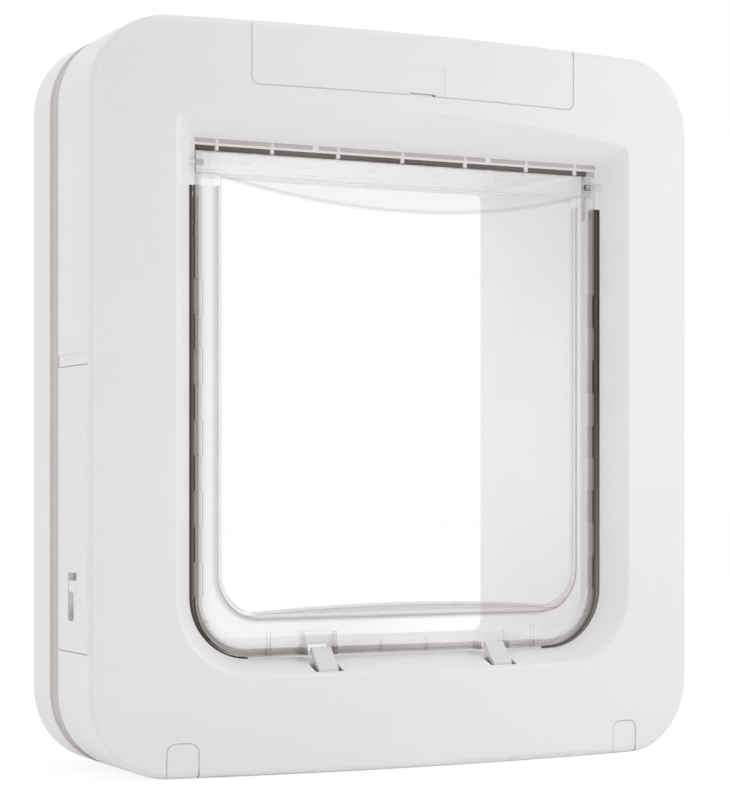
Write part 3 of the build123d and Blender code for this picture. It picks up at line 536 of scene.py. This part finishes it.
# Painted shade: the dark of the lips in the latch slots
slot_shade_dark = plastic(
    "slot_shade_dark",
    (0.05, 0.042, 0.038),
    (0.08, 0.068, 0.062),
    rough=0.7,
    grain_scale=1800.0,
    grain_depth=0.00005,
    specular=0.3,
)
pile_pale = plastic(
    "pile_pale",
    (0.2, 0.172, 0.16),
    (0.3, 0.265, 0.25),
    rough=0.85,
    grain_scale=1800.0,
    grain_depth=0.0002,
    specular=0.2,
)
# Painted shade: the foam's front, where it sits in the groove, is darker
gasket_foam = by_place(
    "gasket_foam",
    "Y",
    (
        (gasket_low.y, FOAM_SHADED),
        (gasket_low.y + FOAM_GROOVE, FOAM_TAUPE),
        (gasket_high.y, FOAM_TAUPE),
    ),
    rough=0.88,
    metallic=0.0,
    grain_depth=0.0003,
)
plated_steel = metal("plated_steel", (0.55, 0.55, 0.56), (0.68, 0.68, 0.69), 0.3, ALONG_X)
motor_can = metal("motor_can", (0.5, 0.5, 0.51), (0.6, 0.6, 0.61), 0.35, ALONG_X)
cell_jacket = by_place(
    "cell_jacket", "X", CELL_STEPS, rough=0.3, metallic=0.35, grain_depth=0.00002, fold=True
)
coil_copper = metal("coil_copper", (0.45, 0.2, 0.09), (0.62, 0.31, 0.16), 0.35, ALONG_WIRE)
board_green = by_place(
    "board_green",
    "Y",
    (
        (board_low.y, CHIP_BLACK),
        (board_high.y - BOARD_THICKNESS, BOARD_COLOUR),
        (board_high.y, BOARD_COLOUR),
    ),
    rough=0.38,
    metallic=0.0,
    grain_depth=0.00003,
)

finishes = {
    "white_casing": casing_white,
    "latch_plastic": latch_grey,
    "clear_plastic": window_clear,
    "pile": pile_brown,
    "foam": gasket_foam,
    "steel": plated_steel,
    "motor_can": motor_can,
    "cell_jacket": cell_jacket,
    "copper": coil_copper,
    "board": board_green,
}
for entry in frame["record"]["subparts"]:
    mesh = nodes[entry["node"]].data
    mesh.materials.clear()
    mesh.materials.append(finishes[entry["material_slot"]])


# Mesh helpers
def skin_over(mesh, rings, closed=False):
    """Faces from each ring to the next: on to the first one again, or with a cap on each end."""
    following = rings[1:] + rings[:1] if closed else rings[1:]
    for first, second in zip(rings, following):
        for k in range(len(first)):
            after = (k + 1) % len(first)
            mesh.faces.new((first[k], first[after], second[after], second[k]))
    if not closed:
        mesh.faces.new(rings[0][::-1])
        mesh.faces.new(rings[-1])


def bar(mesh, ends, section):
    """A bar from one x to another, with a section of (y, z) corners."""
    skin_over(mesh, [[mesh.verts.new((x, y, z)) for y, z in section] for x in ends])


def show(name, mesh, material, outward=True):
    """Make a fixed piece of a finished mesh, with outward faces unless its forms are open."""
    if outward:
        bmesh.ops.recalc_face_normals(mesh, faces=mesh.faces)
    data = bpy.data.meshes.new(name)
    mesh.normal_update()
    mesh.to_mesh(data)
    mesh.free()
    data.materials.append(material)
    piece = bpy.data.objects.new(name, data)
    bpy.context.scene.collection.objects.link(piece)
    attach(piece, "frame")


# Brush seals: short pile on a matted strip, from the opening's wall to just short of the flap
random.seed(11)
PILE_PITCH = 0.0005
PILE_ROWS = 8
TOP_ROWS = 4
PILE_STRAND = 0.00042
PILE_GAP = 0.00035
PILE_LEAN = 0.00018
MATTED = 0.72
ROOT_SHARE = 0.8
ROW_SHARES = (0.2, 0.8)
TIP_SHARES = (0.9, 1.0)
STRAND_SECTION = ((1.0, 0.0), (-0.5, 0.87), (-0.5, -0.87))
DEPTH_AXIS = Vector((0, 1, 0))


def strand(mesh, root, tip, side, along):
    """A three-sided tapered strand from root to tip."""
    ring = []
    for across, ahead in STRAND_SECTION:
        ring.append(mesh.verts.new(root + PILE_STRAND * (across * side + ahead * along)))
    point = mesh.verts.new(tip)
    for k in range(3):
        mesh.faces.new((ring[k], ring[(k + 1) % 3], point))


def strip(mesh, path, inward, depth_low, depth_high, heights):
    """A closed ribbon along a path: the matted roots of the strands."""
    rings = []
    for place, push, height in zip(path, inward, heights):
        top = place + MATTED * height * push
        corners = ((place, depth_low), (top, depth_low), (top, depth_high), (place, depth_high))
        rings.append([mesh.verts.new((spot.x, depth, spot.z)) for spot, depth in corners])
    skin_over(mesh, rings)


def brush(name, node_name, runs, depth_low, depth_high, rows, material):
    """A brush seal: each run is a path, its inward directions and the strands' heights."""
    mesh = bmesh.new()
    step = (depth_high - depth_low) / rows
    for path, inward, heights in runs:
        strip(mesh, path, inward, depth_low, depth_high, heights)
        for place, push, height in zip(path, inward, heights):
            for row in range(rows):
                depth = depth_low + step * (row + random.uniform(*ROW_SHARES))
                lean = Vector([random.uniform(-1, 1) for axis in "xyz"]) * PILE_LEAN
                foot = Vector((place.x, depth, place.z))
                root = foot + push * height * MATTED * ROOT_SHARE
                tip = foot + push * height * random.uniform(*TIP_SHARES) + lean
                tip.y = min(max(tip.y, depth_low), depth_high)
                strand(mesh, root, tip, DEPTH_AXIS, push.cross(DEPTH_AXIS))
    show(name, mesh, material, outward=False)
    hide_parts(node_name)


def side_run(side, wall_half, low, high, radius):
    """A run down one side of the opening and round its lower corner."""
    path, inward, heights = [], [], []
    straight = high - low - radius
    reach = flap_half + PILE_GAP
    corner = Vector((side * (flap_half - FLAP_CORNER), 0, flap_base + FLAP_CORNER))
    steps = int(straight / PILE_PITCH)
    for k in range(steps):
        path.append(Vector((side * wall_half, 0, high - straight * k / steps)))
        inward.append(Vector((-side, 0, 0)))
        heights.append(wall_half - reach)
    turns = int(radius * QUARTER_TURN / PILE_PITCH)
    for k in range(turns + 1):
        angle = QUARTER_TURN * k / turns
        outward = Vector((side * math.cos(angle), 0, -math.sin(angle)))
        place = Vector((side * (wall_half - radius), 0, low + radius)) + radius * outward
        path.append(place)
        inward.append(-outward)
        heights.append((place - corner).length - FLAP_CORNER - PILE_GAP)
    return path, inward, heights


runs = [side_run(side, seal_high.x, seal_low.z, seal_high.z, WALL_CORNER) for side in (-1, 1)]
brush("pile_brush", "pile_seal", runs, seal_low.y, seal_high.y, PILE_ROWS, pile_brown)

top_width = top_high.x - top_low.x
count = int(top_width / PILE_PITCH)
path = [Vector((top_low.x + top_width * k / count, 0, top_high.z)) for k in range(count + 1)]
inward = [Vector((0, 0, -1))] * len(path)
heights = [top_high.z - top_low.z] * len(path)
runs = [(path, inward, heights)]
brush("pile_brush_top", "pile_seal_top", runs, top_low.y, top_high.y, TOP_ROWS, pile_pale)

# Painted shade: dark lips in the latch slots, one each side of a latch, stand in for the shadow in
# the slots
SLOT_GAP = 0.0018
SLOT_FRONT = -0.0106
SLOT_BACK = -0.0030
SILL_EDGE = 0.0030
SILL_HEIGHT = 0.0433
SILL_SLOPE = 0.355
LIP_DROP = 0.0009
LIP_THICKNESS = 0.0008
LIP_CLEARANCE = 0.00025


def lip_top(y):
    """Height of a lip at one depth, a little under the sloping sill."""
    return SILL_HEIGHT - SILL_SLOPE * (SILL_EDGE - y) - LIP_DROP


lip_section = (
    (SLOT_FRONT, lip_top(SLOT_FRONT) - LIP_THICKNESS),
    (SLOT_FRONT, lip_top(SLOT_FRONT)),
    (SLOT_BACK, lip_top(SLOT_BACK)),
    (SLOT_BACK, lip_top(SLOT_BACK) - LIP_THICKNESS),
)
for word in ("left", "right"):
    latch_low, latch_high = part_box("latch_" + word)
    mesh = bmesh.new()
    bar(mesh, (latch_low.x - SLOT_GAP, latch_low.x - LIP_CLEARANCE), lip_section)
    bar(mesh, (latch_high.x + LIP_CLEARANCE, latch_high.x + SLOT_GAP), lip_section)
    show("latch_lip_" + word, mesh, slot_shade_dark)

# Painted shade: a taupe strip in the lintel's groove, broken at the two bridges, stands in for the
# shade in the groove
GROOVE_SHADE_RUNS = ((-0.0880, -0.03925), (-0.03675, 0.03675), (0.03925, 0.0880))
GROOVE_SHADE_LOW = 0.23942
GROOVE_SHADE_HIGH = 0.2413
GROOVE_SHADE_FRONT = 0.0034
GROOVE_SHADE_BACK = 0.0043
GROOVE_SHADE_FUZZ = 0.00006
GROOVE_SHADE_PITCH = 0.0012
GROOVE_SHADE_SECTION = (
    (GROOVE_SHADE_BACK, GROOVE_SHADE_LOW),
    (GROOVE_SHADE_FRONT, GROOVE_SHADE_LOW),
    (GROOVE_SHADE_FRONT, GROOVE_SHADE_HIGH),
    (GROOVE_SHADE_BACK, GROOVE_SHADE_HIGH),
)
mesh = bmesh.new()
for near, far in GROOVE_SHADE_RUNS:
    count = int((far - near) / GROOVE_SHADE_PITCH)
    rings = []
    for k in range(count + 1):
        x = near + (far - near) * k / count
        ring = []
        for y, z in GROOVE_SHADE_SECTION:
            fuzz = random.uniform(0.0, GROOVE_SHADE_FUZZ) if y == GROOVE_SHADE_FRONT else 0.0
            ring.append(mesh.verts.new((x, y + fuzz, z)))
        rings.append(ring)
    skin_over(mesh, rings)
show("lintel_groove_shade", mesh, groove_shade_taupe)

# White lips that close the seams round the battery cover and the screw covers
FACE_RADIUS = 0.61989
FACE_BOW = 0.014
COVER_HALF = 0.0702
COVER_CORNER = 0.003
SCREW_COVER_CORNER = 0.0035
SEAM_NEAR = 0.0001
SEAM_FAR = 0.00032
SEAM_SINK = 0.0005
SEAM_DEPTH = 0.0007
SEAM_END = 0.003
SEAM_TURNS = 8
SEAM_STEPS = 24
SEAM_SECTION = (
    (SEAM_NEAR, 0.0),
    (SEAM_FAR, 0.0),
    (SEAM_FAR, SEAM_DEPTH),
    (SEAM_NEAR, SEAM_DEPTH),
)
CATCH_LEFT = -0.0054
CATCH_RIGHT = 0.0045
CATCH_RISE = 0.0006
CATCH_SINK = 0.0007


def face_depth(x):
    """Depth of the bowed face at one place across it."""
    return FACE_RADIUS - FACE_BOW - math.sqrt(FACE_RADIUS ** 2 - x ** 2)


def seam_lip(mesh, centre, half, end, edge, radius, turn):
    """A lip in a three-sided seam that is open at end: turn is 1 for an arch, -1 for a trough."""
    points = [(centre - half, end, -1.0, 0.0)]
    for side in (-1, 1):
        corner_x, corner_z = centre + side * (half - radius), edge - turn * radius
        for k in range(SEAM_TURNS + 1):
            share = k / SEAM_TURNS if side < 0 else 1 - k / SEAM_TURNS
            angle = QUARTER_TURN * share
            out, up = side * math.cos(angle), turn * math.sin(angle)
            points.append((corner_x + radius * out, corner_z + radius * up, out, up))
        if side < 0:
            width = 2 * (half - radius)
            for k in range(1, SEAM_STEPS):
                points.append((centre - width / 2 + width * k / SEAM_STEPS, edge, 0.0, turn))
    points.append((centre + half, end, 1.0, 0.0))
    rings = []
    for x, z, out, up in points:
        ring = []
        for offset, sink in SEAM_SECTION:
            at = x + out * offset
            y = face_depth(at) + SEAM_SINK + sink
            ring.append(mesh.verts.new((at, y, z + up * offset)))
        rings.append(ring)
    skin_over(mesh, rings)


mesh = bmesh.new()
seam_lip(mesh, 0.0, COVER_HALF, cover_high.z - SEAM_END, cover_low.z, COVER_CORNER, -1)
catch_front = face_depth(0.0) + CATCH_SINK
catch_back = catch_front + SEAM_DEPTH
catch_section = (
    (catch_front, cover_low.z - SEAM_FAR),
    (catch_back, cover_low.z - SEAM_FAR),
    (catch_back, cover_low.z + CATCH_RISE),
    (catch_front, cover_low.z + CATCH_RISE),
)
bar(mesh, (CATCH_LEFT, CATCH_RIGHT), catch_section)
show("cover_seam_lip", mesh, casing_white)

for word in ("left", "right"):
    cap_low, cap_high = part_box("screw_cover_" + word)
    mesh = bmesh.new()
    cap_half = (cap_high.x - cap_low.x) / 2
    cap_middle = cap_low.x + cap_half
    seam_lip(mesh, cap_middle, cap_half, SEAM_END, cap_high.z, SCREW_COVER_CORNER, 1)
    show("screw_cover_lip_" + word, mesh, casing_white)

# Foam gasket: a die-cut ring squeezed between the two frames, its cut edge swelling and wavy.
# Each row is the inset from the frame's outline and the depth, in millimetres.
GASKET_EDGE = (
    (13.8, 0.0),
    (3.2, 0.0),
    (3.15, 1.9),
    (2.9, 2.2),
    (1.3, 2.25),
    (0.92, 2.5),
    (0.74, 3.2),
    (0.62, 4.6),
    (0.58, 6.3),
    (0.62, 8.0),
    (0.76, 9.4),
    (1.0, 10.1),
    (1.5, 10.4),
    (13.8, 10.4),
)
WAVY_INSET = 3.0
EDGE_WAVE = 0.00012
FRAME_CORNER = 0.030
CORNER_STEPS = 14
SIDE_STEPS = 40
CREASE_DEGREES = 50


def frame_path(inset):
    """The frame's rounded outline drawn in by inset, as points that match up between insets."""
    half = frame_high.x - inset
    low = frame_low.z + inset
    high = frame_high.z - inset
    radius = FRAME_CORNER - inset
    corners = (
        (half - radius, low + radius, -QUARTER_TURN),
        (half - radius, high - radius, 0.0),
        (radius - half, high - radius, QUARTER_TURN),
        (radius - half, low + radius, math.pi),
    )
    arcs = []
    for x, z, start in corners:
        turns = [start + QUARTER_TURN * k / CORNER_STEPS for k in range(CORNER_STEPS + 1)]
        arcs.append([(x + radius * math.cos(turn), z + radius * math.sin(turn)) for turn in turns])
    points = []
    for arc, following in zip(arcs, arcs[1:] + arcs[:1]):
        points += arc
        (x0, z0), (x1, z1) = arc[-1], following[0]
        for k in range(1, SIDE_STEPS):
            share = k / SIDE_STEPS
            points.append((x0 + (x1 - x0) * share, z0 + (z1 - z0) * share))
    return points


mesh = bmesh.new()
rings = []
for inset, depth in GASKET_EDGE:
    outer = frame_path(inset * MM)
    inner = frame_path(inset * MM + EDGE_WAVE)
    y = gasket_low.y + depth * MM
    ring = []
    for (x, z), (inner_x, inner_z) in zip(outer, inner):
        share = random.uniform(0.0, 1.0) if inset < WAVY_INSET else 0.0
        ring.append(mesh.verts.new((x + (inner_x - x) * share, y, z + (inner_z - z) * share)))
    rings.append(ring)
skin_over(mesh, rings, closed=True)
show("foam_gasket", mesh, gasket_foam)
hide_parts("door_gasket")
soft = bpy.data.objects["foam_gasket"].data
soft.polygons.foreach_set("use_smooth", [True] * len(soft.polygons))
soft.set_sharp_from_angle(angle=math.radians(CREASE_DEGREES))

# Studio: white surroundings, a pale floor and soft lamps
WORLD_LIGHT = 0.82
FRONT_LIGHT = 0.12
FLOOR_REACH = 6.0
FLOOR_COLOUR = (0.92, 0.92, 0.92, 1.0)
FLOOR_SHADE = (0.16, 0.16, 0.16, 1.0)
FLOOR_GLOW = 0.88


def seen_directly(tree):
    """1 for rays that show the background itself: to the camera, in gloss or through plastic."""
    rays = node(tree, "ShaderNodeLightPath").outputs
    kinds = ("Is Camera Ray", "Is Glossy Ray", "Is Transmission Ray")
    return maths(tree, "MAXIMUM", *[rays[kind] for kind in kinds])


world = bpy.data.worlds.new("studio")
bpy.context.scene.world = world
world.use_nodes = True
sky = world.node_tree
sky.nodes.clear()
sky_out = node(sky, "ShaderNodeOutputWorld")
backdrop = node(sky, "ShaderNodeBackground", Color=(1.0, 1.0, 1.0, 1.0))
front = maths(sky, "MULTIPLY", axes_of(sky, "Generated")["Y"], -1.0)
front = maths(sky, "MAXIMUM", front, 0.0)
front = maths(sky, "MULTIPLY", front, front)
level = node(sky, "ShaderNodeMix", B=1.0)
sky.links.new(seen_directly(sky), level.inputs["Factor"])
sky.links.new(slide(sky, front, 0.0, 1.0, WORLD_LIGHT, FRONT_LIGHT), level.inputs["A"])
sky.links.new(level.outputs["Result"], backdrop.inputs["Strength"])
sky.links.new(backdrop.outputs["Background"], sky_out.inputs["Surface"])

floor_mesh = bpy.data.meshes.new("floor")
floor_corners = [
    (-FLOOR_REACH, -FLOOR_REACH, 0),
    (FLOOR_REACH, -FLOOR_REACH, 0),
    (FLOOR_REACH, FLOOR_REACH, 0),
    (-FLOOR_REACH, FLOOR_REACH, 0),
]
floor_mesh.from_pydata(floor_corners, [], [(0, 1, 2, 3)])
floor = bpy.data.objects.new("floor", floor_mesh)
bpy.context.scene.collection.objects.link(floor)
floor_mat, tree, out = new_material("floor_pale")
bounce = node(tree, "ShaderNodeBsdfDiffuse", Color=FLOOR_COLOUR)
shade = node(tree, "ShaderNodeBsdfDiffuse", Color=FLOOR_SHADE)
glow = node(tree, "ShaderNodeEmission", Strength=FLOOR_GLOW)
shown = node(tree, "ShaderNodeAddShader")
tree.links.new(shade.outputs["BSDF"], shown.inputs[0])
tree.links.new(glow.outputs["Emission"], shown.inputs[1])
pick = node(tree, "ShaderNodeMixShader")
tree.links.new(seen_directly(tree), pick.inputs["Fac"])
tree.links.new(bounce.outputs["BSDF"], pick.inputs[1])
tree.links.new(shown.outputs["Shader"], pick.inputs[2])
tree.links.new(pick.outputs["Shader"], out.inputs["Surface"])
floor_mesh.materials.append(floor_mat)


def lamp(name, place, target, size, power, mirrored=True):
    """A soft square lamp aimed at a point, which camera and gloss don't show if not mirrored."""
    data = bpy.data.lights.new(name, "AREA")
    data.size = size
    data.energy = power
    lit = bpy.data.objects.new(name, data)
    lit.visible_camera = mirrored
    lit.visible_glossy = mirrored
    lit.location = place
    aim = Vector(target) - Vector(place)
    lit.rotation_euler = aim.to_track_quat("-Z", "Y").to_euler()
    bpy.context.scene.collection.objects.link(lit)


lamp("key", (1.5, -0.9, 0.45), (0, 0, 0.14), size=1.2, power=7.4)
lamp("fill", (-1.85, -0.2, 0.12), (0, 0, 0.12), size=1.0, power=2.7)
lamp("top", (0.1, -0.6, 1.5), (0, 0, 0.14), size=1.0, power=3.2)
lamp("low", (-0.05, -0.33, 0.03), (-0.02, 0, 0.05), size=0.3, power=0.145)
lamp("tunnel", (-0.075, 0.098, 0.13), (0.09, 0.045, 0.14), size=0.05, power=0.05, mirrored=False)

bpy.context.scene.view_settings.view_transform = "Standard"
